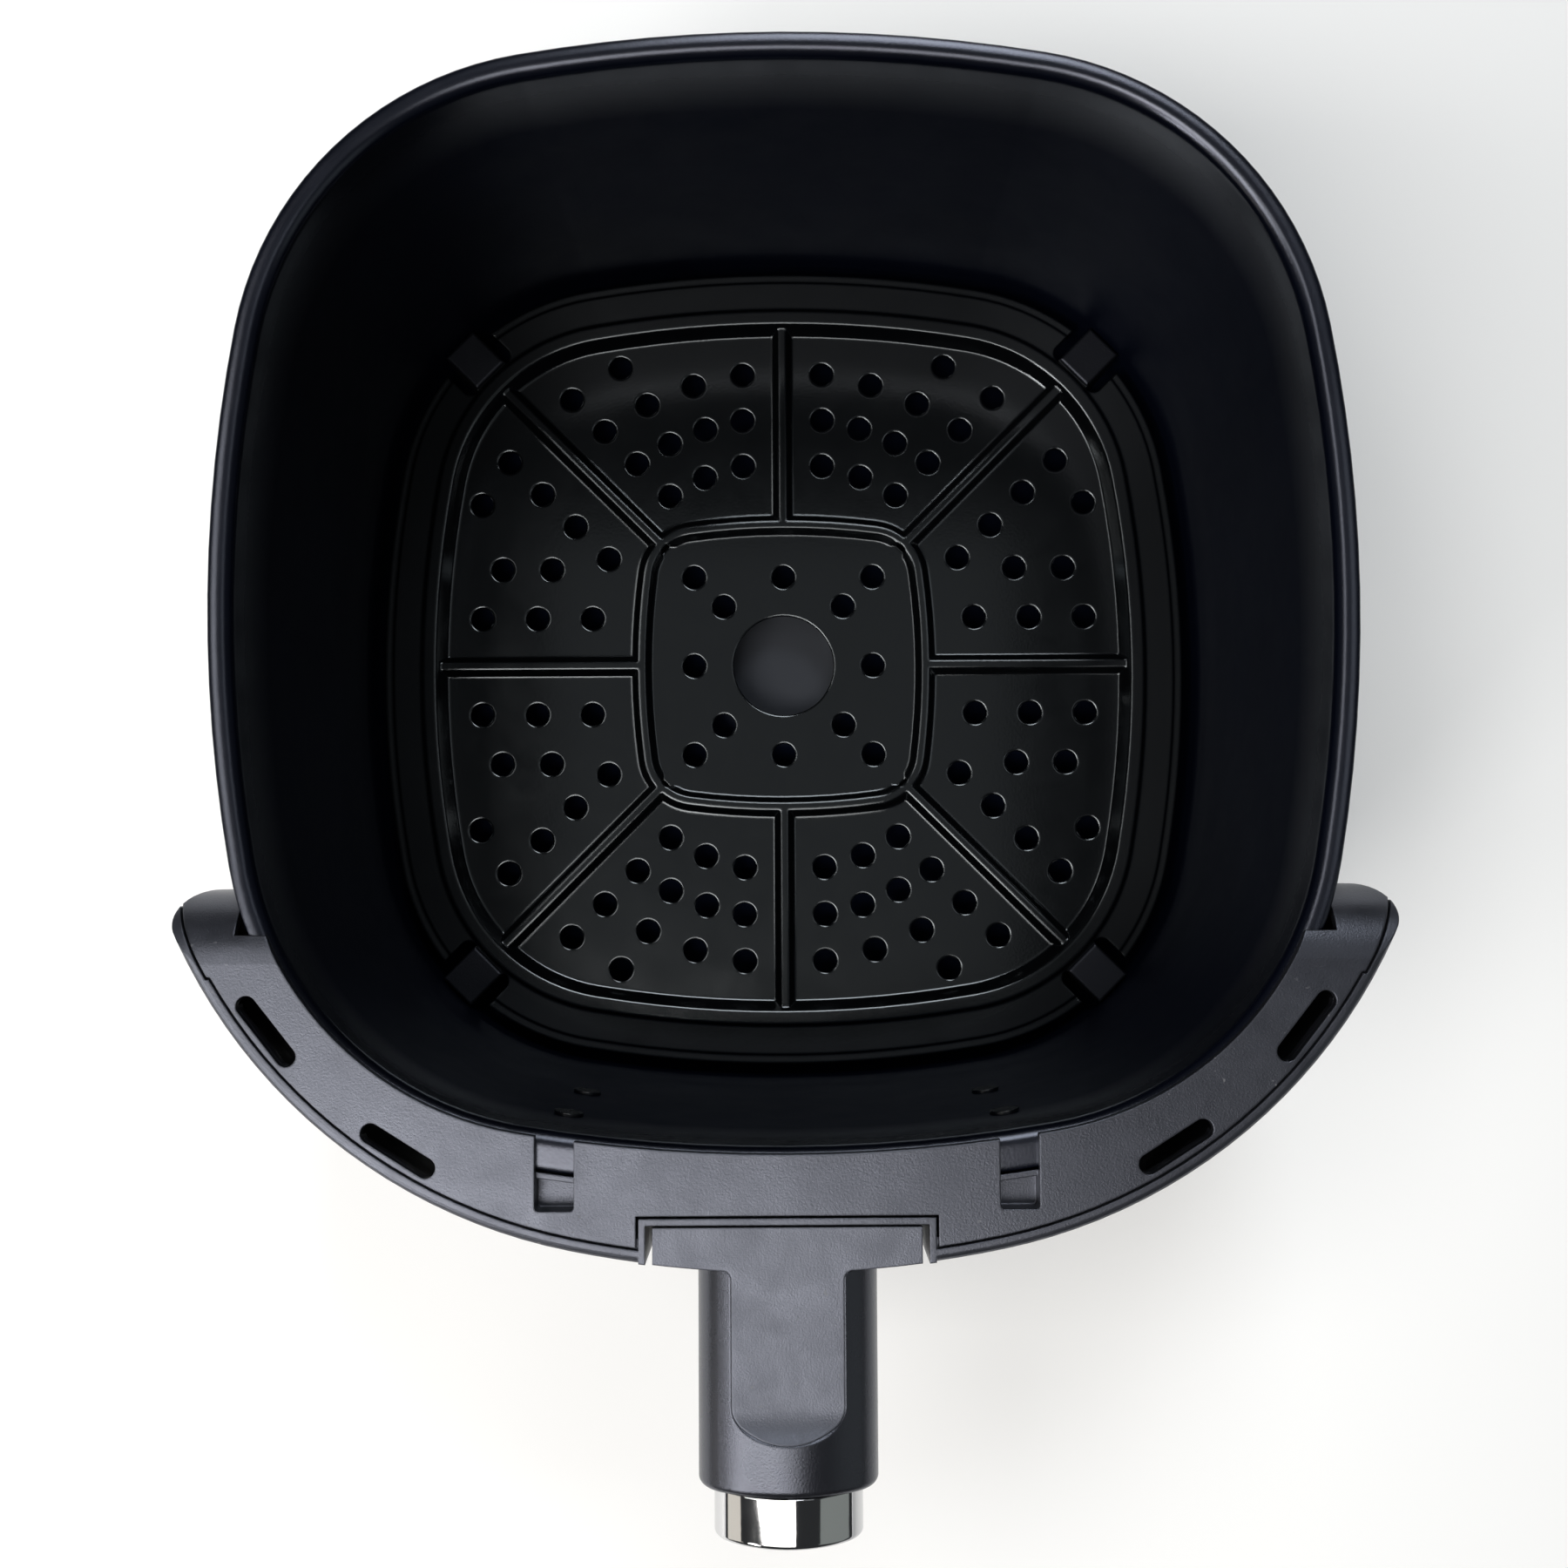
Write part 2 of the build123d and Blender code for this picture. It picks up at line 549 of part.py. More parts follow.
def make_tray():
    """Pressed tray: sunk panels inside a ridge, raised border, hollow beads, holes and notches."""
    slope = math.atan2(WELL_SLOPE, RIDGE_RISE)
    wall_run = TRAY_SHEET / math.cos(slope) - TRAY_SHEET * math.tan(slope)
    well_out = widening(
        WELL_FOOT_INSET - wall_run, WELL_SLOPE, TRAY_PANEL_TOP - TRAY_SHEET, RIDGE_TOP - TRAY_SHEET
    )
    well_in = widening(WELL_FOOT_INSET, WELL_SLOPE, TRAY_PANEL_TOP, RIDGE_TOP)
    floor = slab(pan_outline(WELL_FOOT_INSET), TRAY_PANEL_TOP - TRAY_SHEET, RIDGE_TOP)
    beads = centre_bead()
    channels = centre_bead(flank_inset(), -TRAY_SHEET)
    for i in range(8):
        beads += spoke(45 * i) & well_in
        channels += spoke(45 * i, flank_inset(), -TRAY_SHEET) & floor
    tray = tray_border() + tray_ridge() + well_out - well_in + beads - channels
    drill = Cylinder(HOLE_DIAMETER / 2, REACH)
    tray -= [Pos(x, y) * drill for x, y in hole_places()]
    tray -= Cylinder(FINGER_HOLE / 2, REACH)
    return tray - list(at_corners(corner_notch()).values())


# --- bumpers ---
def bumper():
    """Rubber foot and buffer, along +X: sleeve over the tongue, shaped to the pan's corner."""
    wall = corner_reach() - WALL_FOOT_INSET - PAN_SHEET
    end = wall - BUMPER_GAP
    arc_x = wall - FLOOR_RADIUS
    arc_z = PAN_SHEET + FLOOR_RADIUS
    radius = FLOOR_RADIUS - BUMPER_GAP
    tip = corner_reach() - TRAY_EDGE_INSET
    root = tip - NOTCH_DEPTH
    start = root + BUMPER_SET_BACK
    top = TRAY_BORDER_TOP + BUMPER_OVER
    slant = math.sqrt(0.5) * radius
    profile = Curve() + [
        Line((start, PAN_SHEET), (arc_x - BUMPER_GAP, PAN_SHEET)),
        Line((arc_x - BUMPER_GAP, PAN_SHEET), (arc_x, arc_z - radius)),
        ThreePointArc((arc_x, arc_z - radius), (arc_x + slant, arc_z - slant), (end, arc_z)),
        Line((end, arc_z), (end, top)),
        Line((end, top), (start, top)),
        Line((start, top), (start, PAN_SHEET)),
    ]
    body = extrude(Plane.XZ * make_face(profile), amount=BUMPER_WIDTH / 2, both=True)
    body = fillet(body.faces().sort_by(Axis.Z)[-1].edges(), BUMPER_ROUND)
    tongue = block(
        (0, tip), (-NOTCH_WIDTH / 2, NOTCH_WIDTH / 2), (TRAY_BORDER_BOTTOM, TRAY_BORDER_TOP)
    )
    return body - (tongue - corner_notch())


# --- front ---
def top_round(angle):
    """Inset and drop of a point on the fascia's rounded top edge, angle up from its side."""
    turn = math.radians(angle)
    return FASCIA_TOP_ROUND * (1 - math.cos(turn)), FASCIA_TOP_ROUND * (1 - math.sin(turn))


def front_envelope():
    """Whole outer form of the front: fascia outline, rounded edges, rolled-over rear ends."""
    plan = front_outline(0, -REAR_END, END_CORNER_RADIUS)
    body = slab(plan, FASCIA_BOTTOM, COVER_TOP - FASCIA_TOP_ROUND)
    base_edges = body.faces().sort_by(Axis.Z)[0].edges().sort_by(Axis.Y)[:-1]
    body = fillet(base_edges, FASCIA_BASE_ROUND)
    step = 90 / FASCIA_TOP_FLATS
    for flat in range(FASCIA_TOP_FLATS):
        inset, drop = top_round(flat * step)
        next_inset, next_drop = top_round((flat + 1) * step)
        plan = Pos(0, 0, COVER_TOP - drop) * front_outline(inset, -REAR_END, END_CORNER_RADIUS)
        lean = math.degrees(math.atan2(next_inset - inset, drop - next_drop))
        body += extrude(plan, amount=drop - next_drop, taper=lean)
    return body & below_roll(0)


def behind(y):
    """Everything further back than y."""
    return block((-REACH, REACH), (y, REACH), (-REACH, REACH))


def ahead(y):
    """Everything further forward than y."""
    return block((-REACH, REACH), (-REACH, y), (-REACH, REACH))


def inside_fascia(extra=0.0):
    """Space inside the fascia's wall, less extra all round: thicker wall ahead of the jog."""
    open_end = -REAR_END + END_CORNER_RADIUS
    front = slab(front_outline(FASCIA_WALL + extra, open_end), 0, REACH)
    ends = slab(front_outline(FASCIA_END_WALL + extra, open_end), 0, REACH)
    return front + (ends & behind(-JOG + extra))


def pan_space():
    """Space that the cover leaves for the pan: inside the lip, and between the cut-back ends."""
    lip_space = slab(pan_outline(LIP_LAP), 0, REACH) & ahead(-SHOULDER)
    half = rim_half_width(SHOULDER) + SHOULDER_GAP
    return lip_space + block((-half, half), (-SHOULDER, REACH), (0, REACH))


def handle_space(extra=0.0):
    """Notch for the handle, moved inward by extra."""
    half = NOTCH_HALF - extra
    back = NOTCH_BACK + extra
    return block((-half, half), (-REACH, -back), (NOTCH_FLOOR, REACH))


def vent_slots():
    """Four rounded slots, two on each side, that follow the fascia's curve."""
    slots = []
    for side in (1, -1):
        for angle in SLOT_ANGLES:
            place = side_arc_point(angle, SLOT_INSET, side)
            slot = extrude(SlotCenterToCenter(SLOT_LENGTH, SLOT_WIDTH), amount=REACH)
            slots.append(Pos(place.X, place.Y) * Rot(0, 0, side * angle) * slot)
    return slots


def pocket(side, more=0.0):
    """Catch pocket beside the handle, with all its walls moved outward by more."""
    front = face_y(POCKET_MIDDLE) + POCKET_TO_FACE - more
    width = POCKET_WIDTH + 2 * more
    plan = Pos(side * POCKET_MIDDLE, front / 2) * Rectangle(width, -front)
    plan = fillet(plan.vertices().sort_by(Axis.Y)[:2], POCKET_ROUND + more)
    rear = slab(flange_outline(POCKET_WALL + POCKET_REAR_CLEAR - more), 0, REACH)
    return slab(plan, COVER_TOP - POCKET_DEPTH - more, COVER_TOP) - rear, slab(plan, PAN_HEIGHT, COVER_TOP)


def make_cover():
    """Crescent cover: rolled rear ends, slots, catch pockets, handle notch."""
    sheet = front_envelope() & inside_fascia(SEAM)
    sheet -= below_roll(COVER_SHEET)
    sheet -= pan_space()
    sheet -= slab(flange_outline(FLANGE_CLEAR), 0, PAN_HEIGHT)
    sheet -= handle_space()
    for side in (1, -1):
        tub, _ = pocket(side, POCKET_WALL)
        hollow, window = pocket(side)
        sheet = sheet + tub - hollow - window
    sheet -= vent_slots()
    return sheet - end_screw_shanks()


def fascia_bosses():
    """Four posts on the fascia's inner face for the bottom screws."""
    post = Cylinder(BOSS_RADIUS, BOSS_HEIGHT, align=(Align.CENTER, Align.CENTER, Align.MIN))
    return [Pos(x, y, PANEL_FLOOR_TOP) * post for x, y in bottom_screw_places()]


def bottom_screw_places():
    """Screw places along the inside of the fascia."""
    inset = FASCIA_WALL + BOSS_INSET
    places = []
    for side in (1, -1):
        for angle in BOSS_ANGLES:
            place = side_arc_point(angle, inset, side)
            places.append((place.X, place.Y))
    return places


def make_fascia():
    """Outer front moulding: curved wall, ledge under the cover, notch walls and screw bosses."""
    envelope = front_envelope()
    wall = envelope - inside_fascia()
    ledge = (envelope & below_roll(COVER_SHEET)) - below_roll(COVER_SHEET + LEDGE_DEPTH)
    ledge &= inside_fascia() - inside_fascia(LEDGE)
    ledge &= ahead(-REAR_END - COVER_SHEET)
    ledge -= vent_slots()
    shell = wall + ledge
    shell += slab(front_outline(0, -REAR_END), NOTCH_FLOOR - NOTCH_WALL, COVER_TOP) & block(
        (-NOTCH_WALL_HALF, NOTCH_WALL_HALF), (-REACH, -BRACKET_FRONT), (0, COVER_TOP)
    )
    shell -= handle_space(SEAM + NOTCH_WALL)
    shell += fascia_bosses()
    shell -= bottom_screw_holes()
    shell -= tongue_space(BAR_GAP)
    return shell - mount_screw_shanks()


def panel_reach():
    """Space for the inner panel inside the fascia, its ledge and the cover's end walls."""
    end_face = -REAR_END - COVER_SHEET
    front = slab(front_outline(FASCIA_WALL + PANEL_GAP, -REAR_END), PANEL_FLOOR_BOTTOM, FLANGE_BOTTOM)
    ends = slab(
        front_outline(FASCIA_END_WALL + LEDGE + PANEL_GAP, -REAR_END), PANEL_FLOOR_BOTTOM, FLANGE_BOTTOM
    )
    return (front & ahead(end_face - LEDGE_DEPTH - PANEL_GAP)) + (ends & ahead(end_face))


def make_inner_panel():
    """Inner panel: wall that hugs the pan under the flange, floor with slots, two end returns."""
    inner_face = slab(pan_outline(PANEL_INSET + PANEL_WALL), 0, REACH)
    outer_face = slab(pan_outline(PANEL_INSET), 0, REACH)
    end_face = -REAR_END - COVER_SHEET
    reach = panel_reach()
    wall = reach & outer_face
    floor = reach & block((-REACH, REACH), (-REACH, 0), (0, PANEL_FLOOR_TOP))
    returns = reach & block(
        (-REACH, REACH), (end_face - RETURN_WALL, 0), (0, COVER_TOP - ROLL_RADIUS)
    )
    panel = wall + floor + returns + end_bosses() - inner_face
    panel -= block(
        (-RIVET_X - PAD_HALF - PANEL_WINDOW_CLEAR, RIVET_X + PAD_HALF + PANEL_WINDOW_CLEAR),
        (-FASCIA_REACH, 0),
        (BRACKET_BOTTOM - PANEL_WINDOW_CLEAR, BRACKET_TOP + PANEL_WINDOW_CLEAR),
    )
    panel -= vent_slots()
    panel -= bottom_screw_holes()
    return panel - end_screw_shanks()


# --- handle ---
def half_oval(half, rise, tight_radius, side):
    """Upper (side 1) or lower (side -1) half of an oval: a wide arc between two tight ones."""
    wide_radius = (half**2 + rise**2 - 2 * half * tight_radius) / (2 * (rise - tight_radius))
    tight_x = half - tight_radius
    unit = Vector(tight_x, wide_radius - rise).normalized()
    knee = Vector(tight_x + tight_radius * unit.X, tight_radius * unit.Y)
    bend = Vector(tight_x, 0) + (unit + Vector(1, 0)).normalized() * tight_radius
    arcs = [ThreePointArc((-knee.X, side * knee.Y), (0, side * rise), (knee.X, side * knee.Y))]
    for end in (1, -1):
        arcs.append(
            ThreePointArc((end * half, 0), (end * bend.X, side * bend.Y), (end * knee.X, side * knee.Y))
        )
    return arcs


def grip_middle():
    """Height of the grip's widest line, from the width of its flat at STRIP_TOP."""
    flat_half = STRIP_HALF + STRIP_MARGIN
    tight = GRIP_SHOULDER_RADIUS
    wide = (GRIP_HALF**2 + GRIP_CROWN**2 - 2 * GRIP_HALF * tight) / (2 * (GRIP_CROWN - tight))
    return STRIP_TOP - (GRIP_CROWN - wide + math.sqrt(wide**2 - flat_half**2))


def oval(half, crown, drop, shoulder_radius, belly_radius):
    """Section of the handle in the XZ plane."""
    edges = half_oval(half, crown, shoulder_radius, 1) + half_oval(half, drop, belly_radius, -1)
    return Plane.XZ * (Pos(0, grip_middle()) * make_face(Curve() + edges))


def grip_section():
    """The grip's section."""
    return oval(GRIP_HALF, GRIP_CROWN, GRIP_DROP, GRIP_SHOULDER_RADIUS, GRIP_BELLY_RADIUS)


def cap_section(inset):
    """The end cap's section, moved inward by inset."""
    return oval(
        CAP_HALF - inset,
        CAP_CROWN - inset,
        CAP_DROP - inset,
        CAP_SHOULDER_RADIUS - inset,
        CAP_BELLY_RADIUS - inset,
    )


def forward_of(section, start, end):
    """Section in the XZ plane extended from y = -start to y = -end."""
    return extrude(Pos(0, -start, 0) * section, amount=end - start, dir=(0, -1, 0))


def mount_front_space():
    """Space behind the handle block's front face."""
    return slab(front_outline(MOUNT_SET_BACK, -REAR_END), 0, REACH)


def grip_envelope():
    """Outer form of the grip, from the handle block to its rounded front end."""
    body = forward_of(grip_section(), HEAD_BACK, GRIP_END)
    body = fillet(body.faces().sort_by(Axis.Y)[0].edges(), GRIP_END_ROUND)
    return body - mount_front_space()


def scoop_cut():
    """All that is above the strip's flat, with a hollow ramp at the flat's front end."""
    flat = block((-GRIP_HALF, GRIP_HALF), (-SCOOP_START, 0), (STRIP_TOP, STRIP_TOP + SCOOP_RADIUS))
    ramp = Pos(0, -SCOOP_START, STRIP_TOP + SCOOP_RADIUS) * Rot(0, 90, 0) * Cylinder(
        SCOOP_RADIUS, 2 * GRIP_HALF
    )
    return flat + ramp


def strip_plan():
    """Plan of the strip: parallel sides and an oval end just inside the ramp's edge."""
    rise = grip_middle() + GRIP_CROWN - STRIP_TOP
    ramp = math.sqrt(2 * SCOOP_RADIUS * rise - rise**2)
    start = HEAD_BACK + HEAD_GAP
    end = half_oval(STRIP_HALF, ramp - STRIP_MARGIN, STRIP_END_RADIUS, -1)
    end.append(Line((-STRIP_HALF, 0), (STRIP_HALF, 0)))
    plan = Pos(0, -(start + SCOOP_START) / 2) * Rectangle(2 * STRIP_HALF, SCOOP_START - start)
    return plan + Pos(0, -SCOOP_START) * make_face(Curve() + end)


def head_plan(back):
    """Plan of the handle block from y = -back to its front face."""
    return front_outline(MOUNT_SET_BACK, -REAR_END) & (
        Pos(0, -back - REACH / 2) * Rectangle(2 * MOUNT_HALF, REACH)
    )


def top_plan():
    """T-head and strip in one outline, with hollow fillets between them."""
    plan = head_plan(HEAD_BACK + HEAD_GAP) + strip_plan()
    inner_corners = [
        corner
        for corner in plan.vertices()
        if abs(abs(corner.X) - STRIP_HALF) < SEAM and abs(corner.Y - face_y(STRIP_HALF)) < 2 * SEAM
    ]
    return fillet(inner_corners, STRIP_FILLET)


def make_handle_top():
    """T-head and strip in one moulding, with the scooped end."""
    flat = slab(top_plan(), STRIP_TOP - STRIP_DEPTH, STRIP_TOP)
    head = slab(head_plan(HEAD_BACK + HEAD_GAP), STRIP_TOP - HEAD_DEPTH, STRIP_TOP)
    ramp = (slab(strip_plan(), STRIP_TOP - STRIP_DEPTH, REACH) & grip_envelope()) - scoop_cut()
    return flat + head + ramp


def make_handle_mount():
    """Block in the notch that carries the grip."""
    body = slab(head_plan(HEAD_BACK), MOUNT_BOTTOM, STRIP_TOP - HEAD_DEPTH)
    return body - tongue_space() - mount_screw_shanks()


def tongue_space(gap=0.0):
    """Room for the steel tongue, with gap all round its section."""
    half = TONGUE_BAR_WIDTH / 2 + gap
    top = grip_middle() - TONGUE_BAR_DROP
    return block(
        (-half, half), (-TONGUE_BAR_END, -BRACKET_FRONT), (top - TONGUE_BAR_THICK - gap, top + gap)
    )


def make_tongue():
    """Flat steel bar from the bracket into the grip."""
    return tongue_space() - grip_screw_shanks()


def make_grip():
    """Grip moulding: oval body, pocket for the strip, channel from below, spigot for the cap."""
    body = grip_envelope() - scoop_cut()
    spigot_end = GRIP_END + CAP_LENGTH - SPIGOT_SHORT
    body += forward_of(cap_section(CAP_WALL + SPIGOT_GAP), CHANNEL_END, spigot_end)
    body -= slab(top_plan(), STRIP_TOP - STRIP_DEPTH, REACH)
    half = CHANNEL_WIDTH / 2
    body -= block((-half, half), (-CHANNEL_END, 0), (0, grip_middle() - TONGUE_BAR_DROP))
    return body - grip_screw_shanks()


def make_lower_cover():
    """Plate that closes the grip's channel from below, flush with its underside."""
    half = CHANNEL_WIDTH / 2 - LOWER_COVER_GAP
    top = grip_middle() - TONGUE_BAR_DROP - TONGUE_BAR_THICK
    plate = grip_envelope() & block((-half, half), (-CHANNEL_END + LOWER_COVER_GAP, 0), (0, top))
    recess = Cylinder(
        SCREW_HEAD_RADIUS, grip_screw_seat(), align=(Align.CENTER, Align.CENTER, Align.MIN)
    )
    plate -= [Pos(0, y) * recess for y in grip_screw_places()]
    return plate - grip_screw_shanks()


def make_end_cap():
    """Bright cup pushed over the grip's spigot."""
    outer = forward_of(cap_section(0), GRIP_END, GRIP_END + CAP_LENGTH)
    outer = fillet(outer.faces().sort_by(Axis.Y)[0].edges(), CAP_ROUND)
    return outer - forward_of(cap_section(CAP_WALL), 0, GRIP_END + CAP_LENGTH - CAP_WALL)


# --- bracket and fasteners ---
def make_bracket():
    """Hat bracket: two pads formed to the pan's wall, two legs, and a bridge for the handle."""
    inner_leg = RIVET_X - PAD_HALF
    outline = block(
        (-RIVET_X - PAD_HALF, RIVET_X + PAD_HALF), (-BRACKET_FRONT, 0), (BRACKET_BOTTOM, BRACKET_TOP)
    )
    hat = outline - pan_outer()
    pad_skin = pan_body(-BRACKET_SHEET, 0)
    for wing in (block((inner_leg, REACH), (-REACH, 0), (0, REACH)),
                 block((-REACH, -inner_leg), (-REACH, 0), (0, REACH))):
        hat -= wing - pad_skin
    cavity = block(
        (-inner_leg + BRACKET_SHEET, inner_leg - BRACKET_SHEET),
        (-BRACKET_FRONT + BRACKET_SHEET, 0),
        (0, REACH),
    )
    return hat - cavity - rivet_shanks() - mount_screw_shanks()


def rivet_places():
    """X and Z of the four rivets."""
    return [(side * RIVET_X, z) for side in (1, -1) for z in RIVET_HEIGHTS]


def rivet_shanks():
    """Shank cylinders, through the pan's front wall and the bracket's pads."""
    long_shank = Rot(90, 0, 0) * Cylinder(RIVET_RADIUS, REACH, align=(Align.CENTER, Align.CENTER, Align.MIN))
    return [Pos(x, 0, z) * long_shank for x, z in rivet_places()]


def make_rivets():
    """Four rivets: low inner heads in the pan, outer heads on the bracket's pads."""
    head = Rot(90, 0, 0) * Cylinder(
        RIVET_HEAD_RADIUS, REACH, align=(Align.CENTER, Align.CENTER, Align.MIN)
    )
    wall_outer = pan_body(-BRACKET_SHEET, 0)
    wall_inner = pan_body(PAN_SHEET, 0)
    outer_reach = pan_body(-BRACKET_SHEET - 1.5 * RIVET_HEAD_THICK, 0)
    inner_reach = pan_body(PAN_SHEET + RIVET_HEAD_THICK, 0)
    shank_zone = outer_reach - inner_reach
    head_zone = (outer_reach - wall_outer) + (wall_inner - inner_reach)
    rivets = Part()
    for (x, z), shank in zip(rivet_places(), rivet_shanks()):
        rivets += (shank & shank_zone) + ((Pos(x, 0, z) * head) & head_zone)
    return rivets


def mount_screws():
    """Four screws through bracket and notch wall into the handle block."""
    seat = -BRACKET_FRONT + BRACKET_SHEET
    return [
        forward_screw(side * MOUNT_SCREW_X, z, seat, MOUNT_SCREW_LENGTH)
        for side in (1, -1)
        for z in MOUNT_SCREW_HEIGHTS
    ]


def mount_screw_shanks():
    """Holes for the mount screws."""
    seat = -BRACKET_FRONT + BRACKET_SHEET
    return [
        Pos(side * MOUNT_SCREW_X, seat, z) * Rot(90, 0, 0) * Cylinder(
            SCREW_RADIUS, MOUNT_SCREW_LENGTH, align=(Align.CENTER, Align.CENTER, Align.MIN)
        )
        for side in (1, -1)
        for z in MOUNT_SCREW_HEIGHTS
    ]


def end_screw_x():
    """Middle of the cover's rear end face, between its cut-back edge and the fascia's ledge."""
    inner = rim_half_width(SHOULDER) + SHOULDER_GAP
    outer = front_half_width(FASCIA_END_WALL + LEDGE, -REAR_END - COVER_SHEET)
    return (inner + outer) / 2


def end_screws():
    """Four screws through the cover's rear end faces into the inner panel's returns."""
    return [
        forward_screw(side * end_screw_x(), z, -REAR_END, END_SCREW_LENGTH)
        for side in (1, -1)
        for z in END_SCREW_HEIGHTS
    ]


def end_screw_shanks():
    """Holes for the end screws."""
    return [
        Pos(side * end_screw_x(), -REAR_END, z) * Rot(90, 0, 0) * Cylinder(
            SCREW_RADIUS, END_SCREW_LENGTH, align=(Align.CENTER, Align.CENTER, Align.MIN)
        )
        for side in (1, -1)
        for z in END_SCREW_HEIGHTS
    ]


def end_bosses():
    """Posts in front of the inner panel's returns that take the end screws."""
    start = -REAR_END - COVER_SHEET
    return [
        Pos(side * end_screw_x(), start, z) * Rot(90, 0, 0) * Cylinder(
            END_BOSS_RADIUS, END_SCREW_LENGTH - COVER_SHEET, align=(Align.CENTER, Align.CENTER, Align.MIN)
        )
        for side in (1, -1)
        for z in END_SCREW_HEIGHTS
    ]


def bottom_screws():
    """Four screws up through the inner panel's floor into the fascia's bosses."""
    return [upward_screw(x, y, PANEL_FLOOR_BOTTOM, BOTTOM_SCREW_LENGTH) for x, y in bottom_screw_places()]


def bottom_screw_holes():
    """Holes for the bottom screws, as deep as their tips."""
    drill = Cylinder(
        SCREW_RADIUS,
        PANEL_FLOOR_BOTTOM + BOTTOM_SCREW_LENGTH,
        align=(Align.CENTER, Align.CENTER, Align.MIN),
    )
    return [Pos(x, y) * drill for x, y in bottom_screw_places()]


def grip_screw_places():
    """Y of the two grip screws."""
    return [-GRIP_END + distance for distance in GRIP_SCREWS_FROM_END]


def grip_screw_seat():
    """Height of the screw heads' seats inside the lower cover."""
    return grip_middle() - TONGUE_BAR_DROP - TONGUE_BAR_THICK - GRIP_SCREW_SEAT


def grip_screw_length():
    """From the head's seat to the tip, short of the strip above."""
    return STRIP_TOP - STRIP_DEPTH - GRIP_SCREW_COVER - grip_screw_seat()


def grip_screws():
    """Two screws up through the lower cover and the tongue into the grip."""
    return [upward_screw(0, y, grip_screw_seat(), grip_screw_length()) for y in grip_screw_places()]


def grip_screw_shanks():
    """Holes for the grip screws."""
    drill = Cylinder(SCREW_RADIUS, grip_screw_length(), align=(Align.CENTER, Align.CENTER, Align.MIN))
    return [Pos(0, y, grip_screw_seat()) * drill for y in grip_screw_places()]


def make_parts():
    """Every node's solid, by name."""
    parts = {
        "pan": make_pan(),
        "crisper_tray": make_tray(),
        "top_cover": make_cover(),
        "fascia": make_fascia(),
        "inner_panel": make_inner_panel(),
        "handle_bracket": make_bracket(),
        "bracket_rivets": make_rivets(),
        "mount_screws": Compound(children=mount_screws()),
        "end_screws": Compound(children=end_screws()),
        "bottom_screws": Compound(children=bottom_screws()),
        "handle_mount": make_handle_mount(),
        "handle_tongue": make_tongue(),
        "handle_grip": make_grip(),
        "handle_top": make_handle_top(),
        "handle_lower_cover": make_lower_cover(),
        "grip_screws": Compound(children=grip_screws()),
        "handle_end_cap": make_end_cap(),
    }
    for name, solid in at_corners(bumper()).items():
        parts["bumper_" + name] = solid
    return parts


os.makedirs("parts", exist_ok=True)
for node, shape in make_parts().items():
    export_step(shape, "parts/" + node + ".step")
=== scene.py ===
import math

import bmesh
import bpy
from mathutils import Matrix, Vector

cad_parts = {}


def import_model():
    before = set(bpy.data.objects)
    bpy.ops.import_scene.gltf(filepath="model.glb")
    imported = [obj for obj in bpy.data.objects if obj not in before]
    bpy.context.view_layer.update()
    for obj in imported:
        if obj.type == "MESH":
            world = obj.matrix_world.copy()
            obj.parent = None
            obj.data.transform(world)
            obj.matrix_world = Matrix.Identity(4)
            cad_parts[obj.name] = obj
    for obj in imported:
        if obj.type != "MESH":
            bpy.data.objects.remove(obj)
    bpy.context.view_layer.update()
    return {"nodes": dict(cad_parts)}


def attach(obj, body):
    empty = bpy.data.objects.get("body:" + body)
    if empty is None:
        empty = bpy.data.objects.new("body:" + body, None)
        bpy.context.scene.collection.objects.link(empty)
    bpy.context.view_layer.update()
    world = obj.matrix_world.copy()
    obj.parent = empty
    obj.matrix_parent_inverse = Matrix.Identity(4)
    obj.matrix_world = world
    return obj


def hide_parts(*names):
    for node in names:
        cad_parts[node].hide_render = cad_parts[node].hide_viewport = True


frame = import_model()
NODES = frame["nodes"]
SCENE = bpy.context.scene


